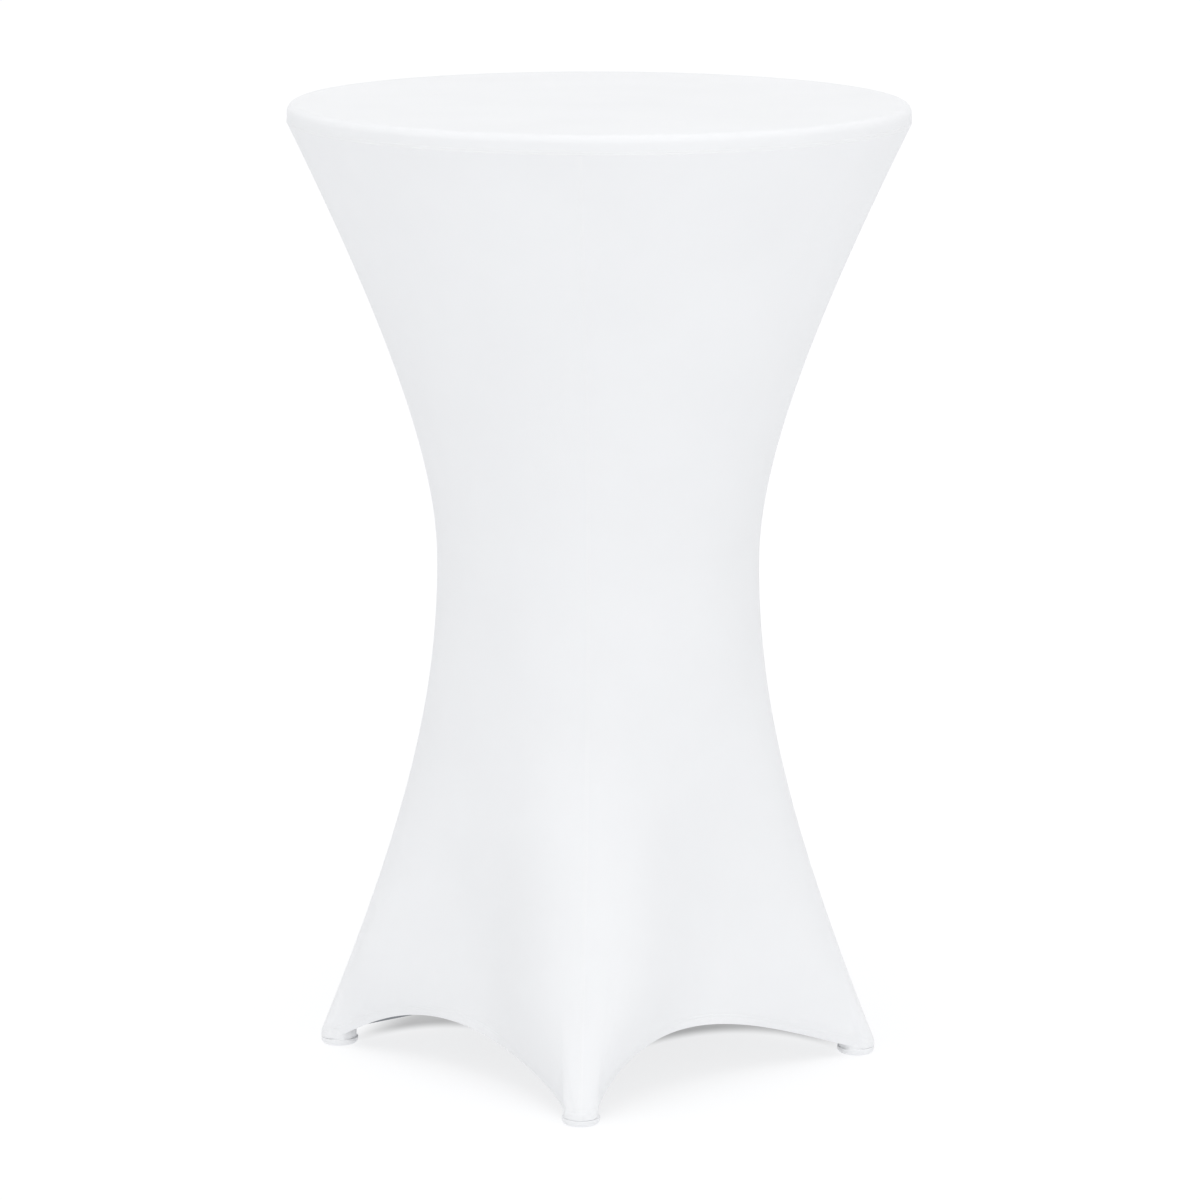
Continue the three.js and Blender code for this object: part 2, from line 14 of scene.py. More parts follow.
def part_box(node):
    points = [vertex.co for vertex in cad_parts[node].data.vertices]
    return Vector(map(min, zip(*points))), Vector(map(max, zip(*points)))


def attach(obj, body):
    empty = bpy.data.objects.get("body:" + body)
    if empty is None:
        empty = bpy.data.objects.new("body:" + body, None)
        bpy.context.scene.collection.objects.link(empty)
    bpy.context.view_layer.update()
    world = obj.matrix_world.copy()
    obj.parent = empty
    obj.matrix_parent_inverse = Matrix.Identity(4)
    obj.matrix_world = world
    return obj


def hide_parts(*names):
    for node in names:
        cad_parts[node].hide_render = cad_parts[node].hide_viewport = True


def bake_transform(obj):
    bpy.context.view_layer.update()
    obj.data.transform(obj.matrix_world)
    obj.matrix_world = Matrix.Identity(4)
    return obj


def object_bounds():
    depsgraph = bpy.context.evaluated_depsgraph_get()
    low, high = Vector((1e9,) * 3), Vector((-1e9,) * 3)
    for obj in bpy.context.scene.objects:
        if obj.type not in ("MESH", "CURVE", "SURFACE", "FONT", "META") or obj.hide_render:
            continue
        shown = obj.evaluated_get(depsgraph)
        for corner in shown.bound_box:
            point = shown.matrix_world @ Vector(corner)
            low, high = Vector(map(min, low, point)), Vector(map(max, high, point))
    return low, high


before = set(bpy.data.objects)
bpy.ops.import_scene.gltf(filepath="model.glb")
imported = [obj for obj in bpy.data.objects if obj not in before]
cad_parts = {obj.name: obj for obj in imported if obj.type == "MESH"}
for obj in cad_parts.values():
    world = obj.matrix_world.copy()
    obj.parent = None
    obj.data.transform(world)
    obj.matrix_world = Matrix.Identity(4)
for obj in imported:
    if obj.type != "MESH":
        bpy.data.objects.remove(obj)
cad_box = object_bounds()

MM = 0.001
FEET = {"right": 0, "back": 90, "left": 180, "front": 270}
ARCHES = {
    "back_right": (0, 57 * MM),
    "back_left": (90, 57 * MM),
    "front_left": (180, 51.5 * MM),
    "front_right": (270, 62 * MM),
}

# ---- driving dimensions, the same as the CAD model's ----

WAIST_RADIUS = 184 * MM
WAIST_HEIGHT = 588 * MM
FLARE_UP, ROUND_UP = 0.5651, 1.728
FLARE_DOWN, ROUND_DOWN = 0.4802, 2.1846
TOP_RADIUS = 350 * MM
TOP_EDGE_ROUND = 9 * MM
POCKET_RADIUS = 21.5 * MM
NOSE_HEIGHT = 14 * MM
HEM_FOOT = 8 * MM
HEM_DRAW, HEM_BEND = 41.8 * MM, 0.57
HEM_LEAN, HEM_POWER = 0.098, 1.015
CLOTH = 0.7 * MM
THREAD_PITCH = 1.5 * MM
HEX_LARGE, HEX_SMALL = 17 * MM, 13 * MM
HUB_RADIUS = 55 * MM
HUB_BOTTOM = 72 * MM
HUB_TOP = 116 * MM
ARM_HALF = 14 * MM
ARM_UNDERSIDE = 22 * MM


def foot_line(height):
    """Outside radius of the skirt over a foot."""
    height = np.asarray(height, float)
    above = height > WAIST_HEIGHT
    flare = np.where(above, FLARE_UP, FLARE_DOWN)
    power = np.where(above, ROUND_UP, ROUND_DOWN)
    flared = flare * np.abs(np.maximum(height, NOSE_HEIGHT) - WAIST_HEIGHT)
    return (WAIST_RADIUS**power + flared**power) ** (1 / power)


FOOT_RADIUS = float(foot_line(NOSE_HEIGHT)) - POCKET_RADIUS
BOARD_BOTTOM, BOARD_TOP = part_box("tabletop")[0][2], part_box("tabletop")[1][2]
SKIRT_TOP = BOARD_BOTTOM + 4 * MM
RIM_GROOVE = BOARD_BOTTOM + 5.6 * MM
TOP_OUTSIDE = cad_box[1][2]


# ---- mesh helpers ----

def mesh_object(name, points, faces, uvs=None, period=0.0, crease=50):
    """A mesh object with its faces pointing out.

    UVs are per point, and period closes them round a turned piece.
    """
    mesh = bpy.data.meshes.new(name)
    mesh.from_pydata(np.asarray(points).tolist(), [], [list(f) for f in faces])
    if uvs is not None:
        uvs = np.asarray(uvs, float)
        corner = np.empty(len(mesh.loops), int)
        mesh.loops.foreach_get("vertex_index", corner)
        values = uvs[corner]
        if period:
            starts = np.empty(len(mesh.polygons), int)
            mesh.polygons.foreach_get("loop_start", starts)
            highest = np.maximum.reduceat(values[:, 0], starts)
            sizes = np.diff(np.append(starts, len(values)))
            behind = values[:, 0] < np.repeat(highest, sizes) - period / 2
            values[behind, 0] += period
        mesh.uv_layers.new(name="cloth").data.foreach_set("uv", values.ravel())
    shape = bmesh.new()
    shape.from_mesh(mesh)
    bmesh.ops.recalc_face_normals(shape, faces=shape.faces)
    shape.to_mesh(mesh)
    shape.free()
    mesh.polygons.foreach_set("use_smooth", [True] * len(mesh.polygons))
    mesh.set_sharp_from_angle(angle=math.radians(crease))
    mesh.update()
    piece = bpy.data.objects.new(name, mesh)
    bpy.context.collection.objects.link(piece)
    return piece


def unit(vectors):
    return vectors / np.maximum(np.linalg.norm(vectors, axis=-1, keepdims=True), 1e-12)


def run_along(points, axis):
    """Length covered so far along an axis of a grid of points."""
    steps = np.linalg.norm(np.diff(points, axis=axis), axis=2)
    start = np.zeros_like(np.take(points[..., 0], [0], axis))
    return np.cumsum(np.concatenate([start, steps], axis), axis)


def closed_grid(name, outer, inner, uvs, wrap=False, period=0.0):
    """A closed shell between two grids of points. With wrap, the columns join round."""
    rows, columns = outer.shape[:2]
    layer = rows * columns
    index = np.arange(layer).reshape(rows, columns)
    after = np.roll(index, -1, axis=1)
    last = columns if wrap else columns - 1
    here, there = index[:, :last], after[:, :last]
    skin = np.stack([here[:-1], here[1:], there[1:], there[:-1]], -1).reshape(-1, 4)
    faces = [skin, skin[:, ::-1] + layer]
    for row in (0, rows - 1):
        faces.append(np.stack([here[row], there[row], there[row] + layer, here[row] + layer], -1))
    if not wrap:
        for column in (0, columns - 1):
            side = index[:, column]
            faces.append(np.stack([side[:-1], side[1:], side[1:] + layer, side[:-1] + layer], -1))
    points = np.concatenate([outer.reshape(-1, 3), inner.reshape(-1, 3)])
    both = np.concatenate([uvs.reshape(-1, 2)] * 2)
    return mesh_object(name, points, np.concatenate(faces), both, period)


def turned(name, profile, segments=96, centre=(0, 0), crease=50, uv_rib=0.6 * MM):
    """A body of revolution from (radius, height) points. It closes on the axis or back on its first point."""
    angles = np.arange(segments) * 2 * math.pi / segments
    widest = max(radius for radius, _ in profile)
    around = round(2 * math.pi * widest / uv_rib) * uv_rib
    points, uvs, rings, faces = [], [], [], []
    run = 0
    for k, (radius, height) in enumerate(profile):
        run += math.dist(profile[k - 1], profile[k]) if k else 0
        count = 1 if radius < 1e-7 else segments
        rings.append(len(points) + np.arange(count))
        for angle in angles[:count]:
            x, y = centre[0] + radius * math.cos(angle), centre[1] + radius * math.sin(angle)
            points.append((x, y, height))
            uvs.append((angle / (2 * math.pi) * around, run))
    pairs = list(zip(rings[:-1], rings[1:]))
    if len(rings[0]) > 1 and len(rings[-1]) > 1 and math.dist(profile[0], profile[-1]) > 1e-7:
        pairs.append((rings[-1], rings[0]))
    for low, high in pairs:
        for j in range(segments):
            k = (j + 1) % segments
            if len(low) > 1 and len(high) > 1:
                faces.append((low[j], low[k], high[k], high[j]))
            elif len(high) > 1:
                faces.append((low[0], high[k], high[j]))
            elif len(low) > 1:
                faces.append((low[j], low[k], high[0]))
    return mesh_object(name, points, faces, uvs, around, crease)


def rounded(profile, radius, steps=4):
    """The same outline with its corners rounded, where its sides are long enough.

    A closed outline, which ends where it starts, is rounded there too and loses its repeated point.
    """
    points = [np.array(p, float) for p in profile]
    closed = math.dist(profile[0], profile[-1]) < 1e-9
    if closed:
        points = points[:-1]
    count = len(points)
    out = []
    for i, here in enumerate(points):
        if not closed and i in (0, count - 1):
            out.append(tuple(here))
            continue
        to_before, to_after = points[i - 1] - here, points[(i + 1) % count] - here
        lengths = np.linalg.norm(to_before), np.linalg.norm(to_after)
        cut = min(radius, 0.45 * lengths[0], 0.45 * lengths[1])
        start, end = here + to_before / lengths[0] * cut, here + to_after / lengths[1] * cut
        for t in np.linspace(0, 1, steps + 1):
            out.append(tuple((1 - t) ** 2 * start + 2 * t * (1 - t) * here + t * t * end))
    return out


def in_mm(profile, lift=0.0):
    return [(r * MM, (z + lift) * MM) for r, z in profile]


def arc(centre, radius, start, end, steps):
    angles = np.radians(np.linspace(start, end, steps + 1))
    return [(centre[0] + radius * math.cos(a), centre[1] + radius * math.sin(a)) for a in angles]


def about_z(points, degrees):
    c, s = math.cos(math.radians(degrees)), math.sin(math.radians(degrees))
    return points @ np.array([[c, s, 0], [-s, c, 0], [0, 0, 1]])


def joined(name, pieces):
    """One object from several bodies."""
    with bpy.context.temp_override(active_object=pieces[0], selected_editable_objects=pieces):
        bpy.ops.object.join()
    pieces[0].name = name
    return pieces[0]


def smooth_step(x):
    x = np.clip(x, 0, 1)
    return x * x * (3 - 2 * x)


def wobble(x, seed, scale):
    """A smooth repeatable wave from -1 to 1 along x, with about one bend per scale."""
    x = np.asarray(x) / scale * 2 * math.pi
    return (np.sin(x + seed) + np.sin(x * 1.618 + 2.3 * seed) + np.sin(x * 0.577 + 4.1 * seed)) / 3


# ---- materials ----

def material(name, color, roughness, metallic=0.0):
    made = bpy.data.materials.new(name)
    made.use_nodes = True
    shader = made.node_tree.nodes["Principled BSDF"]
    shader.inputs["Base Color"].default_value = (*color, 1)
    shader.inputs["Roughness"].default_value = roughness
    shader.inputs["Metallic"].default_value = metallic
    return made, made.node_tree, shader


def node(tree, kind, inputs=None, **settings):
    made = tree.nodes.new(kind)
    for key, value in settings.items():
        setattr(made, key, value)
    for key, value in (inputs or {}).items():
        made.inputs[key].default_value = value
    return made


def link(tree, source, output, target, socket):
    tree.links.new(source.outputs[output], target.inputs[socket])


def mottled(tree, color, noise, share):
    """A colour that varies a little with a noise texture."""
    ramp = node(tree, "ShaderNodeValToRGB")
    ramp.color_ramp.elements[0].position = 0.32
    ramp.color_ramp.elements[0].color = (*[c * (1 - share) for c in color], 1)
    ramp.color_ramp.elements[1].position = 0.68
    ramp.color_ramp.elements[1].color = (*color, 1)
    link(tree, noise, 0, ramp, "Fac")
    return ramp


def hard_material(name, color, roughness, metallic, grain, depth, share, stretch=(1, 1, 1)):
    """Paint, metal, plastic or laminate with a fine grain in its surface and its colour."""
    made, tree, shader = material(name, color, roughness, metallic)
    place = node(tree, "ShaderNodeTexCoord")
    scale = node(tree, "ShaderNodeMapping", {"Scale": stretch})
    link(tree, place, "Object", scale, "Vector")
    fine = node(tree, "ShaderNodeTexNoise", {"Scale": grain, "Detail": 4.0, "Roughness": 0.6})
    link(tree, scale, "Vector", fine, "Vector")
    bump = node(tree, "ShaderNodeBump", {"Strength": 0.6, "Distance": depth})
    link(tree, fine, 0, bump, "Height")
    link(tree, bump, "Normal", shader, "Normal")
    broad = node(tree, "ShaderNodeTexNoise", {"Scale": grain / 12, "Detail": 5.0, "Roughness": 0.6})
    link(tree, scale, "Vector", broad, "Vector")
    link(tree, mottled(tree, color, broad, share), "Color", shader, "Base Color")
    return made


def cloth_material(name, color, rib, course, depth, share=0.02, knit_shade_share=0.03):
    """Knitted or woven cloth: ribs across U and courses along V, from UVs in metres, with fuzz on top. Its
    colour has painted shade, darker in the knit's low places.
    """
    made, tree, shader = material(name, color, 0.9)
    shader.inputs["Specular IOR Level"].default_value = 0.2
    shader.inputs["Sheen Weight"].default_value = 0.12
    shader.inputs["Sheen Roughness"].default_value = 0.5
    uv = node(tree, "ShaderNodeUVMap", uv_map="cloth")
    split = node(tree, "ShaderNodeSeparateXYZ")
    link(tree, uv, "UV", split, "Vector")

    def wave(output, period):
        scaled = node(tree, "ShaderNodeMath", {1: 2 * math.pi / period}, operation="MULTIPLY")
        link(tree, split, output, scaled, 0)
        sine = node(tree, "ShaderNodeMath", operation="SINE")
        link(tree, scaled, "Value", sine, 0)
        return sine

    ribs, courses = wave("X", rib), wave("Y", course)
    knit = node(tree, "ShaderNodeMath", operation="MULTIPLY")
    link(tree, ribs, "Value", knit, 0)
    link(tree, courses, "Value", knit, 1)
    height = node(tree, "ShaderNodeMath", operation="ADD")
    link(tree, knit, "Value", height, 0)
    link(tree, ribs, "Value", height, 1)
    bump = node(tree, "ShaderNodeBump", {"Strength": 0.5, "Distance": depth})
    link(tree, height, "Value", bump, "Height")

    place = node(tree, "ShaderNodeTexCoord")
    fuzz = node(tree, "ShaderNodeTexNoise", {"Scale": 1100.0, "Detail": 3.0, "Roughness": 0.6})
    link(tree, place, "Object", fuzz, "Vector")
    grain = node(tree, "ShaderNodeBump", {"Strength": 0.3, "Distance": depth})
    link(tree, fuzz, 0, grain, "Height")
    link(tree, bump, "Normal", grain, "Normal")
    link(tree, grain, "Normal", shader, "Normal")

    cloud = node(tree, "ShaderNodeTexNoise", {"Scale": 6.0, "Detail": 4.0, "Roughness": 0.55})
    link(tree, place, "Object", cloud, "Vector")
    tint = mottled(tree, color, cloud, share)
    # painted shade: the colour darkens where the knit pattern is low, as shade would fall in its grooves
    loops = node(tree, "ShaderNodeMapRange",
                 {"From Min": -2.0, "From Max": 2.0, "To Min": 1 - knit_shade_share, "To Max": 1.0})
    link(tree, height, "Value", loops, "Value")
    shade = node(tree, "ShaderNodeVectorMath", operation="SCALE")
    link(tree, tint, "Color", shade, "Vector")
    link(tree, loops, "Result", shade, "Scale")
    link(tree, shade, "Vector", shader, "Base Color")
    return made


FINISHES = {
    "cover_cloth": cloth_material("cover_cloth", (0.865, 0.873, 0.888), 0.62 * MM, 0.5 * MM, 0.05 * MM),
    "seam_thread": cloth_material("seam_thread", (0.875, 0.882, 0.895), 0.5 * MM, 0.9 * MM, 0.06 * MM),
    "hem_elastic": cloth_material("hem_elastic", (0.79, 0.8, 0.82), 1.1 * MM, 0.7 * MM, 0.15 * MM),
    # the sole's knit gets stronger painted shade in its low places
    "pocket_sole": cloth_material(
        "pocket_sole", (0.69, 0.7, 0.72), 1.4 * MM, 1.4 * MM, 0.25 * MM, share=0.06, knit_shade_share=0.12),
    "tabletop_board": hard_material(
        "tabletop_board", (0.71, 0.685, 0.63), 0.5, 0, 420, 0.06 * MM, 0.07, stretch=(1, 6, 1)),
    "zinc_steel": hard_material("zinc_steel", (0.49, 0.505, 0.52), 0.38, 1, 700, 0.02 * MM, 0.14),
    "chrome_tube": hard_material(
        "chrome_tube", (0.67, 0.69, 0.71), 0.12, 1, 260, 0.004 * MM, 0.05, stretch=(4, 4, 0.3)),
    "base_paint": hard_material("base_paint", (0.265, 0.28, 0.302), 0.42, 0.3, 900, 0.05 * MM, 0.08),
    "pad_plastic": hard_material("pad_plastic", (0.024, 0.025, 0.027), 0.55, 0, 1500, 0.03 * MM, 0.3),
}


def finished(piece, slot, body="root", replaces=()):
    """Gives a piece its material slot and the body it rides on."""
    piece.data.materials.clear()
    piece.data.materials.append(FINISHES[slot])
    if body:
        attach(piece, body)
    if replaces:
        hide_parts(*replaces)
    return piece


# ---- the skirt's surface, on the axes of an arch that starts at azimuth 0 ----

WRAP_ANGLE = 1.2  # how far round the pad's nose the hem lies before it leaves for the arch
WRAP_POINTS, ARCH_POINTS, EVEN_POINTS = 160, 3000, 1600
CORNER_SPREAD = 4.5 * MM  # how far the hem's turn from nose to arch is softened
KERNEL_REACH = 14 * MM
CORNER_REACH = 18 * MM  # and how far along the hem that softening works

# The CAD skirt uses 7 and 1 here. These make the lower skirt rounder, up to 12 mm from it.
SECTION_POWER = 11  # how low down the skirt takes the hem's shape
RIDGE_POWER = 0.45  # how narrow the ridges over the feet get on the way down


def hem_curve(rise):
    """The hem from one foot to the next, evenly spaced: points and length so far."""
    nose = np.linspace(0, WRAP_ANGLE, WRAP_POINTS)
    nose_x = FOOT_RADIUS + POCKET_RADIUS * np.cos(nose)
    nose_y = POCKET_RADIUS * np.sin(nose)
    f = np.linspace(0, 1, ARCH_POINTS)
    bow = 4 * f * (1 - f)
    drawn = HEM_DRAW / math.sqrt(2) * bow**HEM_BEND
    leaned = f + HEM_LEAN * bow
    height = HEM_FOOT + rise * np.clip(4 * leaned * (1 - leaned), 0, 1) ** HEM_POWER
    x = nose_x[-1] * (1 - f) + nose_y[-1] * f - drawn
    y = nose_y[-1] * (1 - f) + nose_x[-1] * f - drawn
    flat = np.full(WRAP_POINTS - 1, HEM_FOOT)
    line = np.stack([
        np.concatenate([nose_x[:-1], x, nose_y[::-1][1:]]),
        np.concatenate([nose_y[:-1], y, nose_x[::-1][1:]]),
        np.concatenate([flat, height, flat]),
    ], 1)
    length = np.concatenate([[0], np.cumsum(np.linalg.norm(np.diff(line, axis=0), axis=1))])
    even = np.linspace(0, length[-1], EVEN_POINTS)
    line = np.stack([np.interp(even, length, line[:, k]) for k in range(3)], 1)
    spacing = even[1]
    reach = round(KERNEL_REACH / spacing)
    kernel = np.exp(-0.5 * (np.arange(-reach, reach + 1) * spacing / CORNER_SPREAD) ** 2)
    before, after = line[reach:0:-1] * (1, -1, 1), line[-2:-reach - 2:-1] * (-1, 1, 1)
    padded = np.concatenate([before, line, after])
    soft = np.stack([np.convolve(padded[:, k], kernel / kernel.sum(), "valid") for k in range(3)], 1)
    corner = WRAP_ANGLE * POCKET_RADIUS
    from_end = np.minimum(even, even[-1] - even)
    near_corner = smooth_step(1.5 - np.abs(from_end - corner) / CORNER_REACH)[:, None]
    line = line * (1 - near_corner) + soft * near_corner
    return line, even


COLUMNS = 148
CROWDING = 0.78  # how much closer the columns stand at the feet
TENSION_ROUNDS = 40
# rows of the hem by their distance from its edge, close together where a stitch line lies
HEM_STEPS = MM * np.array([
    1.6, 2.6, 4, 5.6, 7.4, 8.4, 9, 9.6, 10.6, 11.7, 12.3, 12.9, 13.6, 15, 17.5, 21, 26,
])
FOLD_RADIUS = 0.95 * MM
STITCH_LINES = (12.3 * MM, 9 * MM)
BODY_ROWS = 150
FALLS = np.linspace(0, 1, 90)


def skirt_lines(rise):
    """Lines down the cloth, each from the rim to the hem: points of shape (rows, columns, 3)."""
    line, even = hem_curve(rise)
    share = np.linspace(0, 1, COLUMNS)
    along = share - CROWDING * np.sin(2 * math.pi * share) / (2 * math.pi)
    hem = np.stack([np.interp(along * even[-1], even, line[:, k]) for k in range(3)], 1)
    hem_turn, hem_radius = np.arctan2(hem[:, 1], hem[:, 0]), np.hypot(hem[:, 0], hem[:, 1])
    top_turn = (0.6 * along + 0.4 * share) * math.pi / 2

    rows = []
    for fall in FALLS[:-1]:
        z = SKIRT_TOP + (WAIST_HEIGHT - SKIRT_TOP) * fall
        r = float(foot_line(z))
        rows.append(np.stack([r * np.cos(top_turn), r * np.sin(top_turn), np.full(COLUMNS, z)], 1))
    full_spread = float(foot_line(HEM_FOOT)) - WAIST_RADIUS
    middle = hem_radius[COLUMNS // 2] - WAIST_RADIUS
    for fall in FALLS:
        level = WAIST_HEIGHT + (HEM_FOOT - WAIST_HEIGHT) * fall
        spread = float(foot_line(level)) - WAIST_RADIUS
        turn = top_turn + (hem_turn - top_turn) * fall**1.5
        low = middle * spread / full_spread
        soft = low + (spread - low) * ((1 + np.cos(4 * turn)) / 2) ** (1 + RIDGE_POWER * fall)
        sharp = (hem_radius - WAIST_RADIUS) * spread / full_spread
        share_sharp = fall**SECTION_POWER
        r = WAIST_RADIUS + soft * (1 - share_sharp) + sharp * share_sharp
        z = WAIST_HEIGHT + (hem[:, 2] - WAIST_HEIGHT) * fall
        rows.append(np.stack([r * np.cos(turn), r * np.sin(turn), z], 1))
    points = np.array(rows)
    held = points.copy()
    for _ in range(TENSION_ROUNDS):
        mean = (points[:-2, 1:-1] + points[2:, 1:-1] + points[1:-1, :-2] + points[1:-1, 2:]) / 4
        points[1:-1, 1:-1] = 0.5 * points[1:-1, 1:-1] + 0.5 * mean
        points[-4:] = held[-4:]
    return points


def resampled(points):
    """The same lines with rows at set distances from the hem, and evenly spread above them.

    The last row is the hem itself. The distances of all rows from the hem come with it.
    """
    from_top = run_along(points, 0)
    out = np.empty((BODY_ROWS + len(HEM_STEPS) + 2, points.shape[1], 3))
    distances = np.empty(out.shape[:2])
    for j in range(points.shape[1]):
        total = from_top[-1, j]
        body = np.linspace(total, HEM_STEPS[-1], BODY_ROWS + 1)[:-1]
        wanted = np.concatenate([body, HEM_STEPS[::-1], [FOLD_RADIUS, 0]])
        distances[:, j] = wanted
        for k in range(3):
            out[:, j, k] = np.interp(total - wanted, from_top[:, j], points[:, j, k])
    return out, distances


def grid_normals(points):
    """Unit normals out of the cloth; at both side edges they stay in the plane of the foot."""
    normals = unit(np.cross(np.gradient(points, axis=0), np.gradient(points, axis=1)))
    normals[:, 0, 1] = 0
    normals[:, -1, 0] = 0
    return unit(normals)


def strain(points, inward, seed):
    """How far the cloth stands off its smooth shape.

    That is by stitch grooves, a puckered and fuller hem, and three faint pull lines that leave each foot.
    """
    across = run_along(points, 1)
    width = across[:, -1:]
    from_foot = np.minimum(across, width - across)
    offset = np.zeros(points.shape[:2])
    for stitch in STITCH_LINES:
        offset -= 0.22 * MM * np.exp(-((inward - stitch) / (0.55 * MM)) ** 2)
    puckers = wobble(across, seed, 7.5 * MM) * np.exp(-((inward - 10.5 * MM) / (6 * MM)) ** 2)
    offset += 0.07 * MM * puckers * smooth_step(from_foot / (12 * MM))
    offset += 0.12 * MM * smooth_step(1 - inward / (13 * MM))
    for k, (lean, deep) in enumerate(((0.24, 0.55), (0.42, 0.4), (0.62, 0.3))):
        here = across if (k + int(seed)) % 2 else width - across
        centre = (6 + 5 * k) * MM + lean * inward
        fade = smooth_step(inward / (8 * MM)) * np.exp(-inward / ((60 + 25 * k) * MM))
        offset -= deep * MM * fade * np.exp(-((here - centre) / ((3.2 + 1.6 * k) * MM)) ** 2)
    return offset


def panel_grids(arch):
    """Grids of one side panel with its hem folded up inside.

    They are the outer and inner points, UVs and outward directions, and the number of rows above the fold.
    """
    azimuth, rise = ARCHES[arch]
    points, distances = resampled(skirt_lines(rise))
    normals = grid_normals(points)
    points = points + normals * strain(points, distances, azimuth / 50 + 1.3)[..., None]
    face, face_normals = points[:-1], normals[:-1]
    start, out = face[-1], face_normals[-1]
    down = unit(points[-1] - start)
    angles = np.radians(np.linspace(0, 180, 9))[1:-1]
    fold_normals = np.array([out * math.cos(a) + down * math.sin(a) for a in angles])
    fold = (start - out * FOLD_RADIUS)[None] + fold_normals * FOLD_RADIUS
    tucked = [len(face) - 1 - k for k in (0, 2, 4, 6, 9, 11)]
    back = face[tucked] - face_normals[tucked] * 2 * FOLD_RADIUS
    outer = np.concatenate([face, fold, back])
    outward = np.concatenate([face_normals, fold_normals, -face_normals[tucked]])
    inner = outer - outward * CLOTH
    across = run_along(outer, 1)
    uvs = np.stack([across - across[:, -1:] / 2, run_along(outer, 0)], 2)
    return outer, inner, uvs, outward, len(face)


PANELS = {arch: panel_grids(arch) for arch in ARCHES}

# ---- stitches ----

STITCH_PITCH, STITCH_LENGTH, THREAD_RADIUS = 3.2 * MM, 2.4 * MM, 0.12 * MM
THREAD_SIDES = 5


def stitch_row(path, normals, closed=False):
    """Points and faces of a row of sewn stitches along a path on the cloth."""
    if closed:
        path, normals = np.vstack([path, path[:1]]), np.vstack([normals, normals[:1]])
    length = np.concatenate([[0], np.cumsum(np.linalg.norm(np.diff(path, axis=0), axis=1))])
    count = max(1, int(length[-1] / STITCH_PITCH))
    centres = (np.arange(count) + 0.5) * length[-1] / count
    places = np.array([-0.5, -0.34, 0.34, 0.5]) * STITCH_LENGTH
    sizes = np.array([0.45, 1, 1, 0.45]) * THREAD_RADIUS
    rises = np.array([-0.11, 0.03, 0.03, -0.11]) * MM
    where = centres[:, None] + places[None]
    at = np.stack([np.interp(where, length, path[:, k]) for k in range(3)], -1)
    out = unit(np.stack([np.interp(where, length, normals[:, k]) for k in range(3)], -1))
    side = unit(np.cross(unit(at[:, -1:] - at[:, :1]), out))
    turns = np.arange(THREAD_SIDES) * 2 * math.pi / THREAD_SIDES
    ring = (out[:, :, None] * np.cos(turns)[None, None, :, None]
            + side[:, :, None] * np.sin(turns)[None, None, :, None])
    points = (at + out * rises[None, :, None])[:, :, None] + ring * sizes[None, :, None, None]
    faces = []
    for base in range(0, count * 4 * THREAD_SIDES, 4 * THREAD_SIDES):
        for low in range(base, base + 3 * THREAD_SIDES, THREAD_SIDES):
            for k in range(THREAD_SIDES):
                j = (k + 1) % THREAD_SIDES
                faces.append((low + k, low + j, low + THREAD_SIDES + j, low + THREAD_SIDES + k))
        faces.append(tuple(base + k for k in range(THREAD_SIDES)))
        faces.append(tuple(base + 3 * THREAD_SIDES + k for k in range(THREAD_SIDES)))
    return points.reshape(-1, 3), faces


def stitching(name, rows):
    points, faces, offset = [], [], 0
    for row_points, row_faces in rows:
        points.append(row_points)
        faces += [tuple(i + offset for i in f) for f in row_faces]
        offset += len(row_points)
    points = np.concatenate(points)
    return mesh_object(name, points, faces, points[:, :2])


def ring_row(radius, height, out, centre=(0, 0), segments=240):
    """A round row of stitches at a radius and height, with out = (outward, upward) as the cloth's normal."""
    angles = np.linspace(0, 2 * math.pi, segments, endpoint=False)
    spokes = np.stack([np.cos(angles), np.sin(angles), np.zeros(segments)], 1)
    path = spokes * radius + (centre[0], centre[1], height)
    normals = spokes * out[0] + (0, 0, out[1])
    return stitch_row(path, normals, closed=True)


# ---- side panels, their hems and the seams between them ----

ELASTIC_NEAR, ELASTIC_FAR = 0.78 * MM, 1.12 * MM  # depth of its two faces under the outside of the cloth
SEAM_HALF, SEAM_PROUD, SEAM_DEPTH = 2.4 * MM, 0.12 * MM, 0.15 * MM


def hem_elastic(arch, outer, outward, face_rows):
    """The elastic inside the folded hem."""
    azimuth = ARCHES[arch][0]
    rows = [face_rows - 1 - k for k in (1, 3, 5, 8, 10)]
    columns = slice(12, COLUMNS - 12)
    face, normals = outer[rows][:, columns], outward[rows][:, columns]
    near, far = face - normals * ELASTIC_NEAR, face - normals * ELASTIC_FAR
    uvs = np.stack([run_along(near, 1), run_along(near, 0)], 2)
    return closed_grid(f"hem_elastic_{arch}", about_z(near, azimuth), about_z(far, azimuth), uvs)


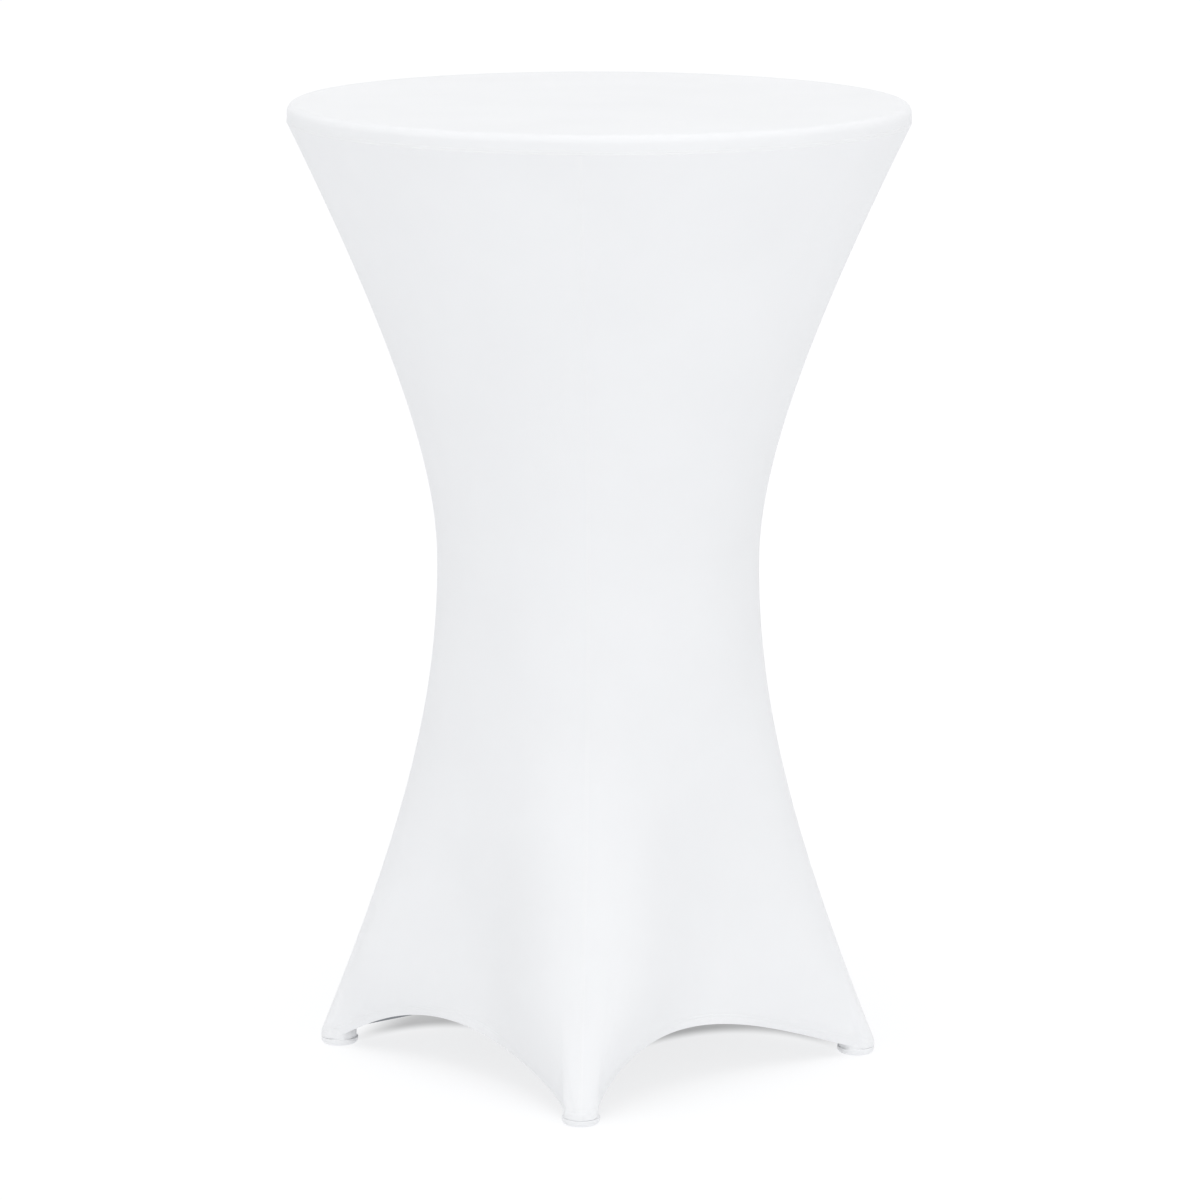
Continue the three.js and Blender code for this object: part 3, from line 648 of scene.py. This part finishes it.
def vertical_seam(arch):
    """The flat seam over the foot where this arch starts, slightly proud, with two rows of stitches."""
    azimuth = ARCHES[arch][0]
    foot = next(name for name, turn in FEET.items() if turn == azimuth)
    outer, _, _, outward, face_rows = PANELS[arch]
    offsets = np.array([-1, -0.8, -0.55, -0.3, -0.12, 0, 0.12, 0.3, 0.55, 0.8, 1]) * SEAM_HALF
    away = np.abs(offsets)
    surface = np.empty((len(outer), len(offsets), 3))
    normals = np.empty_like(surface)
    for i in range(len(outer)):
        for k in range(3):
            surface[i, :, k] = np.interp(away, outer[i, :40, 1], outer[i, :40, k])
            normals[i, :, k] = np.interp(away, outer[i, :40, 1], outward[i, :40, k])
        surface[i, :, 1] = offsets
        normals[i, :, 1] *= np.sign(offsets)
    normals = unit(normals)
    run = run_along(surface, 0)[:, 5]
    proud = SEAM_PROUD * (1 - (offsets / SEAM_HALF) ** 2)
    proud = proud[None] * (1 + 0.25 * wobble(run, azimuth, 9 * MM))[:, None]
    top = surface + normals * proud[..., None]
    low = surface - normals * SEAM_DEPTH
    uvs = np.stack([np.broadcast_to(offsets, proud.shape), np.broadcast_to(run[:, None], proud.shape)], 2)
    strip = closed_grid(f"cover_seam_{foot}", about_z(top, azimuth), about_z(low, azimuth), uvs)
    finished(strip, "seam_thread", replaces=[f"seam_{foot}"])
    rows = []
    for k in (2, 8):
        path, out = top[4:face_rows, k], normals[4:face_rows, k]
        rows.append(stitch_row(about_z(path, azimuth), about_z(out, azimuth)))
    threads = finished(stitching(f"seam_stitches_{foot}", rows), "seam_thread")
    return strip, threads


def side_panel(arch):
    azimuth = ARCHES[arch][0]
    outer, inner, uvs, outward, face_rows = PANELS[arch]
    piece = closed_grid(f"cover_side_{arch}", about_z(outer, azimuth), about_z(inner, azimuth), uvs)
    finished(piece, "cover_cloth", replaces=[f"side_panel_{arch}"])
    elastic = hem_elastic(arch, outer, outward, face_rows)
    finished(elastic, "hem_elastic", replaces=[f"hem_tape_{arch}"])
    rows = []
    for stitch in STITCH_LINES:
        row = face_rows - 2 - int(np.argmin(np.abs(HEM_STEPS - stitch)))
        rows.append(stitch_row(about_z(outer[row, 3:-3], azimuth), about_z(outward[row, 3:-3], azimuth)))
    threads = finished(stitching(f"hem_stitches_{arch}", rows), "seam_thread")
    vertical_seam(arch)


for arch in ARCHES:
    side_panel(arch)


# ---- the cover's top and its rim seam ----

def top_cloth():
    """Round top of the cover, rolled over the board's edge down to the rim seam."""
    centre = (TOP_RADIUS - TOP_EDGE_ROUND, BOARD_TOP - TOP_EDGE_ROUND)
    outside = TOP_OUTSIDE - BOARD_TOP + TOP_EDGE_ROUND
    low = RIM_GROOVE + 1.6 * MM
    outer = [(0, TOP_OUTSIDE)] + [(r, TOP_OUTSIDE) for r in np.linspace(0, centre[0], 30)[1:-1]]
    outer += arc(centre, outside, 90, 0, 16) + [(centre[0] + outside, z) for z in (low + 3 * MM, low)]
    inner = [(centre[0] + outside - CLOTH, low)] + arc(centre, outside - CLOTH, 0, 90, 16)
    inner += [(0, TOP_OUTSIDE - CLOTH)]
    piece = turned("cover_top", outer + inner, 288)
    mesh = piece.data
    corner = np.empty(len(mesh.loops), int)
    mesh.loops.foreach_get("vertex_index", corner)
    places = np.array([v.co for v in mesh.vertices])
    radius = np.hypot(places[:, 0], places[:, 1])
    developed = radius + np.maximum(0, TOP_OUTSIDE - places[:, 2])
    flat = places[:, :2] / np.maximum(radius, 1e-9)[:, None] * developed[:, None]
    mesh.uv_layers["cloth"].data.foreach_set("uv", flat[corner].ravel())
    return piece


def rim_seam():
    """The flat seam round the rim: two soft lips with the needle groove between them."""
    shape = [(350.5, -2.3), (351.3, -2.1), (351.5, -1.5), (351.55, -1.0), (351.5, -0.45), (351.35, 0),
             (351.45, 0.45), (351.5, 1.0), (351.48, 1.5), (351.3, 2.1), (350.5, 2.3), (350.4, 0)]
    return turned("cover_rim_seam", in_mm(shape, RIM_GROOVE / MM), 288, crease=80, uv_rib=0.5 * MM)


top = finished(top_cloth(), "cover_cloth", replaces=["top_panel"])
rim = finished(rim_seam(), "seam_thread", replaces=["rim_seam"])
rim_rows = [ring_row(351.45 * MM, RIM_GROOVE + z * MM, (1, 0), segments=480) for z in (-1.35, 1.35)]
rim_threads = finished(stitching("rim_stitches", rim_rows), "seam_thread")


# ---- foot pockets ----

def foot_axis(name):
    angle = math.radians(FEET[name])
    return FOOT_RADIUS * math.cos(angle), FOOT_RADIUS * math.sin(angle)


def foot_pocket(name):
    """Cloth cup hooked round the levelling pad, tucked up inside the hem and higher where no hem is."""
    centre = foot_axis(name)
    outline = [(0, 1.65), (9, 1.65), (16.7, 1.65), (17.2, 0.9), (18.2, 0.4), (19.6, 1.0), (20.8, 2.8),
               (21.35, 5), (21.4, 6.9), (21.1, 7.8), (20.2, 7.95), (19.4, 8.15), (19.3, 8.8), (19.2, 9.6),
               (19.1, 10.4)]
    outside = rounded(in_mm(outline), 0.9 * MM, 2)
    profile = np.array(outside)
    slope = np.gradient(profile, axis=0)
    inside = profile + unit(np.stack([-slope[:, 1], slope[:, 0]], 1)) * 0.9 * MM
    inside[0, 0] = 0
    piece = turned(f"cover_pocket_{name}", outside + [tuple(p) for p in inside[::-1]], 72, centre)
    mesh = piece.data
    places = np.array([v.co for v in mesh.vertices])
    away = places[:, :2] - centre
    radius = np.hypot(away[:, 0], away[:, 1])
    angle = np.arctan2(away[:, 1], away[:, 0])
    seed = FEET[name] / 90 + 0.7
    pleats = np.sin(9 * angle + seed) * 0.5 + np.sin(14 * angle + 2 * seed) * 0.5
    up = smooth_step((places[:, 2] - 2 * MM) / (4 * MM)) * smooth_step((radius - 12 * MM) / (5 * MM))
    off_outward = np.abs((angle - math.radians(FEET[name]) + math.pi) % (2 * math.pi) - math.pi)
    heel = smooth_step((off_outward - 1.3) / 0.45)
    above = np.clip((places[:, 2] - 8 * MM) / (2.4 * MM), 0, 1)
    wider = pleats * up * 0.15 * MM + 0.4 * MM * heel * smooth_step(4 * above)
    places[:, :2] = away * (1 + wider / np.maximum(radius, 1e-6))[:, None] + centre
    places[:, 2] += 10 * MM * heel * above
    mesh.vertices.foreach_set("co", places.ravel())
    mesh.update()
    finished(piece, "cover_cloth", body=None, replaces=[f"foot_pocket_{name}"])
    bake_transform(piece)
    return piece


def pocket_sole(name):
    """Coarse patch under the pocket, with an overlocked edge."""
    outline = [(0, 0.25), (12.8, 0.25), (13.4, 0.5), (14, 0.25), (14.5, 0), (15.6, 0), (16.2, 0.3),
               (16.4, 0.75), (16.2, 1.25), (15.6, 1.5), (0, 1.5)]
    return turned(f"cover_sole_{name}", in_mm(outline), 72, foot_axis(name), crease=80, uv_rib=1.4 * MM)


def foot_cloth(name):
    body = f"foot_{name}"
    pocket = foot_pocket(name)
    sole = finished(pocket_sole(name), "pocket_sole", body, [f"pocket_sole_{name}"])
    rows = [ring_row(13.4 * MM, 0.42 * MM, (0, -1), foot_axis(name), 72)]
    threads = finished(stitching(f"sole_stitches_{name}", rows), "seam_thread", body)


for name in FEET:
    foot_cloth(name)


# ---- the table inside ----

def hex_body(name, across_flats, bore, bottom, top, centre, cham=0.6 * MM):
    """A hexagon nut or head with chamfered corners."""
    segments = 72
    angles = np.arange(segments) * 2 * math.pi / segments
    flat = across_flats / 2 / np.cos((angles + math.pi / 6) % (math.pi / 3) - math.pi / 6)
    ring = np.stack([np.cos(angles), np.sin(angles)], 1)
    outer, inner = [], []
    for height, limit in ((bottom, 0.985), (bottom + cham, 1.075), (bottom + 2 * cham, 1.2),
                          (top - 2 * cham, 1.2), (top - cham, 1.075), (top, 0.985)):
        radius = np.minimum(flat, limit * across_flats / 2)
        level = np.full(segments, height)
        outer.append(np.column_stack([ring * radius[:, None] + centre, level]))
        inner.append(np.column_stack([ring * bore + centre, level]))
    outer, inner = np.array(outer), np.array(inner)
    return closed_grid(name, outer, inner, np.zeros((*outer.shape[:2], 2)), wrap=True)


def rings_body(name, rings, crease=50):
    """A body through a list of rings of points, closed by a flat face at both ends."""
    count, width = len(rings), len(rings[0])
    faces = []
    for i in range(count - 1):
        for j in range(width):
            k = (j + 1) % width
            faces.append((i * width + j, i * width + k, (i + 1) * width + k, (i + 1) * width + j))
    faces.append(tuple(range(width)))
    faces.append(tuple(range((count - 1) * width, count * width)))
    return mesh_object(name, np.concatenate(rings), faces, crease=crease)


def threaded_rod(name, radius, depth, pitch, bottom, top, centre):
    """A rod with a helical thread."""
    angles = np.arange(24) * 2 * math.pi / 24
    ring = np.stack([np.cos(angles), np.sin(angles)], 1)
    rings = []
    for height in np.arange(bottom, top, pitch / 5):
        phase = (height / pitch - angles / (2 * math.pi)) % 1
        cut = depth * np.abs(2 * phase - 1) if height > bottom + pitch else depth
        r = np.broadcast_to(radius - cut, angles.shape)
        rings.append(np.column_stack([ring * r[:, None] + centre, np.full(len(angles), height)]))
    return rings_body(name, rings, crease=70)


def table_top():
    centre = TOP_RADIUS - TOP_EDGE_ROUND
    profile = [(0, BOARD_BOTTOM), (0.12, BOARD_BOTTOM), (0.24, BOARD_BOTTOM)]
    profile += arc((centre, BOARD_BOTTOM + TOP_EDGE_ROUND), TOP_EDGE_ROUND, -90, 0, 10)
    profile += arc((centre, BOARD_TOP - TOP_EDGE_ROUND), TOP_EDGE_ROUND, 0, 90, 10)
    profile += [(0, BOARD_TOP)]
    finished(turned("table_board", profile, 192), "tabletop_board", replaces=["tabletop"])


def top_spider():
    """Cross-shaped plate with rounded bar ends, and its boss in the column."""
    low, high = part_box("top_spider")
    top_face, plate = high[2], 5 * MM
    reach, half = 112 * MM, 24 * MM
    angles = np.linspace(0, 2 * math.pi, 361)[:-1]
    radius = np.zeros(len(angles))
    for bar in (math.pi / 4, -math.pi / 4):
        along, across = np.abs(np.cos(angles - bar)), np.abs(np.sin(angles - bar))
        side = half / np.maximum(across, 1e-9)
        end = reach * along + np.sqrt(np.maximum(0, half**2 - (reach * across) ** 2))
        radius = np.maximum(radius, np.where(side * along <= reach, side, end))
    spokes = np.stack([np.cos(angles), np.sin(angles)], 1)
    rings = []
    for inset, level in ((0.9, -5), (0.25, -4.7), (0, -4.1), (0, -0.9), (0.25, -0.3), (0.9, 0)):
        flat = spokes * (radius - inset * MM)[:, None]
        rings.append(np.column_stack([flat, np.full(len(flat), top_face + level * MM)]))
    cross = rings_body("table_spider", rings, crease=30)
    under = top_face - plate - 0.01 * MM
    boss = [(0, low[2]), (27.7 * MM, low[2]), (27.7 * MM, under), (0, under)]
    boss = turned("boss", rounded(boss, 1 * MM), 64)
    finished(joined("table_spider", [cross, boss]), "zinc_steel", replaces=["top_spider"])


def screws():
    for k in range(1, 5):
        low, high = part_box(f"top_screw_{k}")
        centre = ((low[0] + high[0]) / 2, (low[1] + high[1]) / 2)
        tip = (high[2] - low[2]) / MM
        head = [(0, 1.3), (1.1, 1.1), (1.6, 0), (3.2, 0), (4.3, 0.5), (4.8, 1.6), (4.8, 2.9),
                (2.2, 3), (2.2, tip - 3), (0, tip)]
        piece = turned(f"table_screw_{k}", in_mm(head, low[2] / MM), 40, centre)
        finished(piece, "zinc_steel", replaces=[f"top_screw_{k}"])


ARM_CORNER, ARM_WALL = 4 * MM, 3 * MM


def arch_outline(half, low, high, corner):
    """Half-section points up one side, over a rounded shoulder and down the other side."""
    bends = np.radians(np.linspace(0, 90, 6))
    left = [(-half, low), (-half, (high + low) / 2)]
    left += [(-half + corner * (1 - math.cos(b)), high - corner * (1 - math.sin(b))) for b in bends]
    return left + [(-y, z) for y, z in left[::-1]]


def base_arm(name):
    """Pressed channel, open below, that drops from the hub to a solid rounded end."""
    azimuth = FEET[name]
    inner, solid = HUB_RADIUS - 8 * MM, FOOT_RADIUS - 16 * MM
    tops = ([inner, FOOT_RADIUS - 9 * MM, FOOT_RADIUS + 2 * MM, FOOT_RADIUS + 9 * MM, FOOT_RADIUS + ARM_HALF],
            [HUB_TOP - 5 * MM, 43 * MM, 35 * MM, 28 * MM, 24 * MM])
    lows = ([inner, solid], [HUB_BOTTOM + 4 * MM, ARM_UNDERSIDE])
    outside, inside = [], []
    for x in np.linspace(HUB_RADIUS + 0.3 * MM, solid, 40):
        high, low = np.interp(x, *tops), np.interp(x, *lows)
        outside.append([(x, y, z) for y, z in arch_outline(ARM_HALF, low, high, ARM_CORNER)])
        hollow = arch_outline(ARM_HALF - ARM_WALL, low, high - ARM_WALL, ARM_CORNER - ARM_WALL + 0.5 * MM)
        inside.append([(x, y, z) for y, z in hollow])
    outer, hollow = about_z(np.array(outside), azimuth), about_z(np.array(inside), azimuth)
    channel = closed_grid(f"table_arm_{name}", outer, hollow, np.zeros((*outer.shape[:2], 2)))

    tip = FOOT_RADIUS + ARM_HALF * np.sin(np.radians(np.linspace(8, 88, 11)))
    rings = []
    for x in np.concatenate([np.linspace(solid, FOOT_RADIUS, 8), tip]):
        half = ARM_HALF if x <= FOOT_RADIUS else math.sqrt(ARM_HALF**2 - (x - FOOT_RADIUS) ** 2)
        high, low = np.interp(x, *tops), ARM_UNDERSIDE
        corner = min(ARM_CORNER, 0.6 * half, 0.45 * (high - low))
        ring = [(x, y, z) for y, z in arch_outline(half, low, high, corner)]
        rings.append(about_z(np.array(ring), azimuth))
    end = rings_body("end", rings)
    finished(joined(f"table_arm_{name}", [channel, end]), "base_paint", replaces=[f"base_arm_{name}"])


def centre_parts():
    """Column, collar, hub, and the tie rod with its washer and nut."""
    low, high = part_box("column")
    bottom, top = low[2] / MM, high[2] / MM
    tube = [(28, bottom), (30, bottom), (30, top), (28, top), (28, bottom)]
    finished(turned("table_column", in_mm(rounded(tube, 0.4)), 128), "chrome_tube", replaces=["column"])
    ring = [(30.3, 0), (46, 0), (46, 3), (42, 9), (35, 13), (30.3, 14), (30.3, 0)]
    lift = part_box("column_collar")[0][2] / MM
    collar = turned("table_collar", in_mm(rounded(ring, 1.6), lift), 128)
    finished(collar, "chrome_tube", replaces=["column_collar"])
    hub = [(5.3, 72), (52, 72), (55, 75), (55, 113), (52, 116), (27.7, 116), (27.7, 140), (5.3, 140),
           (5.3, 72)]
    finished(turned("table_hub", in_mm(rounded(hub, 1.5)), 128), "base_paint", replaces=["base_hub"])
    low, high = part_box("tie_rod")
    thread_top = low[2] + 40 * MM
    thread = threaded_rod("table_tie_rod", 5 * MM, 0.55 * MM, THREAD_PITCH, low[2], thread_top, (0, 0))
    shank = [(0, thread_top - 1 * MM), (4.6 * MM, thread_top - 1 * MM), (4.6 * MM, high[2]), (0, high[2])]
    shank = turned("shank", rounded(shank, 0.5 * MM), 32)
    finished(joined("table_tie_rod", [thread, shank]), "zinc_steel", replaces=["tie_rod"])
    low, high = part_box("rod_washer")
    bore, edge = 5.3 * MM, 15 * MM
    washer = [(bore, low[2]), (edge, low[2]), (edge, high[2]), (bore, high[2]), (bore, low[2])]
    finished(turned("table_rod_washer", rounded(washer, 0.5 * MM), 64), "zinc_steel", replaces=["rod_washer"])
    low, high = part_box("rod_nut")
    nut = hex_body("table_rod_nut", HEX_LARGE, bore, low[2], high[2], (0, 0))
    finished(nut, "zinc_steel", replaces=["rod_nut"])


def levelling_foot(name):
    centre = foot_axis(name)
    low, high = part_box(f"leveller_insert_{name}")
    bore = 5.15 * MM
    sleeve = [(bore, low[2]), (7.5 * MM, low[2]), (7.5 * MM, high[2]), (bore, high[2]), (bore, low[2])]
    sleeve = turned(f"table_insert_{name}", rounded(sleeve, 0.4 * MM), 48, centre)
    finished(sleeve, "zinc_steel", replaces=[f"leveller_insert_{name}"])
    nut_low, nut_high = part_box(f"lock_nut_{name}")
    nut = hex_body(f"table_lock_nut_{name}", HEX_LARGE, bore, nut_low[2], nut_high[2], centre)
    finished(nut, "zinc_steel", replaces=[f"lock_nut_{name}"])
    low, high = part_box(f"leveller_stud_{name}")
    rod = threaded_rod("rod", 4.85 * MM, 0.5 * MM, THREAD_PITCH, low[2], high[2], centre)
    flange = nut_low[2] - 0.3 * MM
    head = hex_body("head", HEX_SMALL, 4.4 * MM, flange - 4.5 * MM, flange, centre)
    stud = joined(f"table_stud_{name}", [rod, head])
    finished(stud, "zinc_steel", f"stud_{name}", [f"leveller_stud_{name}"])
    shape = [(0, 0), (16, 0), (18.1, 1.6), (18.1, 3.5), (10, 6.5), (5.15, 6.5), (5.15, 2.2), (0, 2.2)]
    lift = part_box(f"leveller_pad_{name}")[0][2] / MM
    pad = turned(f"table_pad_{name}", in_mm(rounded(shape, 0.8), lift), 64, centre)
    finished(pad, "pad_plastic", f"foot_{name}", [f"leveller_pad_{name}"])


table_top()
top_spider()
screws()
centre_parts()
for name in FEET:
    base_arm(name)
    levelling_foot(name)


# ---- floor, light and camera ----

FLOOR_HALF = 30
FLOOR_GREY = 0.22
FLOOR_GLOW = (0.79, 0.34)  # everywhere, and in the shade under the table's back half
SHADE_START = (0.06, 0.1)  # how far behind the column that shade sets in, off each arch's middle
SHADE_MIDDLE, SHADE_BOW = 0.17, 5  # where that is, and how fast it comes forward on both sides of it
SHADE_EDGE = (0.3, 0.24)  # its outer radius, soft


def floor():
    """Plain white floor with a glow of its own, lower under the table. The lamps don't cast that shade."""
    corners = [(x * FLOOR_HALF, y * FLOOR_HALF, 0) for x, y in ((-1, -1), (1, -1), (1, 1), (-1, 1))]
    piece = mesh_object("floor", corners, [(0, 1, 2, 3)])
    made, tree, shader = material("floor", (FLOOR_GREY,) * 3, 1.0)
    shader.inputs["Specular IOR Level"].default_value = 0
    shader.inputs["Emission Color"].default_value = (0.985, 0.99, 1, 1)
    place = node(tree, "ShaderNodeTexCoord")
    split = node(tree, "ShaderNodeSeparateXYZ")
    link(tree, place, "Object", split, "Vector")
    away = node(tree, "ShaderNodeVectorMath", operation="LENGTH")
    link(tree, place, "Object", away, 0)

    def soft_edge(source, output, limits):
        edge = node(tree, "ShaderNodeMapRange", {"From Min": limits[0], "From Max": limits[1]},
                    interpolation_type="SMOOTHSTEP")
        link(tree, source, output, edge, "Value")
        return edge

    side = node(tree, "ShaderNodeMath", operation="ABSOLUTE")
    link(tree, split, "X", side, 0)
    beside = node(tree, "ShaderNodeMath", {1: SHADE_MIDDLE}, operation="SUBTRACT")
    link(tree, side, "Value", beside, 0)
    squared = node(tree, "ShaderNodeMath", operation="MULTIPLY")
    link(tree, beside, "Value", squared, 0)
    link(tree, beside, "Value", squared, 1)
    behind = node(tree, "ShaderNodeMath", {1: SHADE_BOW}, operation="MULTIPLY_ADD")
    link(tree, squared, "Value", behind, 0)
    link(tree, split, "Y", behind, 2)
    shade = node(tree, "ShaderNodeMath", operation="MULTIPLY")
    link(tree, soft_edge(behind, "Value", SHADE_START), "Result", shade, 0)
    link(tree, soft_edge(away, "Value", SHADE_EDGE), "Result", shade, 1)
    glow = node(tree, "ShaderNodeMapRange", {"To Min": FLOOR_GLOW[0], "To Max": FLOOR_GLOW[1]})
    link(tree, shade, "Value", glow, "Value")
    link(tree, glow, "Result", shader, "Emission Strength")
    piece.data.materials.append(made)


def sun(name, direction, strength, spread):
    lamp = bpy.data.lights.new(name, "SUN")
    lamp.energy = strength
    lamp.angle = math.radians(spread)
    holder = bpy.data.objects.new(name, lamp)
    bpy.context.collection.objects.link(holder)
    holder.rotation_euler = Vector(direction).to_track_quat("-Z", "Y").to_euler()


SKY_LEVELS = ((0, 1.06), (0.35, 0.84), (0.6, 0.55))  # sine of the height over the horizon, brightness


def light():
    """White surroundings, brightest at the horizon, a broad light above, weak ones in front and right."""
    world = bpy.data.worlds.new("studio")
    bpy.context.scene.world = world
    world.use_nodes = True
    tree = world.node_tree
    place = node(tree, "ShaderNodeTexCoord")
    split = node(tree, "ShaderNodeSeparateXYZ")
    link(tree, place, "Generated", split, "Vector")
    ramp = node(tree, "ShaderNodeValToRGB")
    ramp.color_ramp.elements.new(SKY_LEVELS[-1][0])
    for element, (height, level) in zip(ramp.color_ramp.elements, SKY_LEVELS):
        element.position = height
        element.color = (level, level, level, 1)
    link(tree, split, "Z", ramp, "Fac")
    sky = tree.nodes["Background"]
    link(tree, ramp, "Color", sky, "Color")
    sky.inputs["Strength"].default_value = 1
    sun("above", (0.02, 0.1, -1), 1.4, 60)
    sun("front", (-0.05, 0.94, -0.34), 0.3, 40)
    sun("right", (-0.85, 0.45, -0.3), 0.13, 40)


CAMERA_TURN = 0.058
CAMERA_PLACE = (0.0022, -5.8642, 1.7124)
CAMERA_ROLL = 0.0025
CAMERA_PITCH = 0.1987
CAMERA_LENS = 156.435


def camera():
    lens = bpy.data.cameras.new("camera")
    lens.sensor_width = 36
    lens.lens = CAMERA_LENS
    holder = bpy.data.objects.new("camera", lens)
    bpy.context.collection.objects.link(holder)
    turn = Matrix.Rotation(CAMERA_TURN, 4, "Z")
    aim = Matrix.Translation(CAMERA_PLACE) @ Euler((math.pi / 2 - CAMERA_PITCH, 0, 0)).to_matrix().to_4x4()
    aim = aim @ Matrix.Rotation(CAMERA_ROLL, 4, "Z")
    holder.matrix_world = turn @ aim
    bpy.context.scene.camera = holder


floor()
light()
camera()
bpy.context.scene.view_settings.view_transform = "Standard"
bpy.context.scene.view_settings.look = "None"
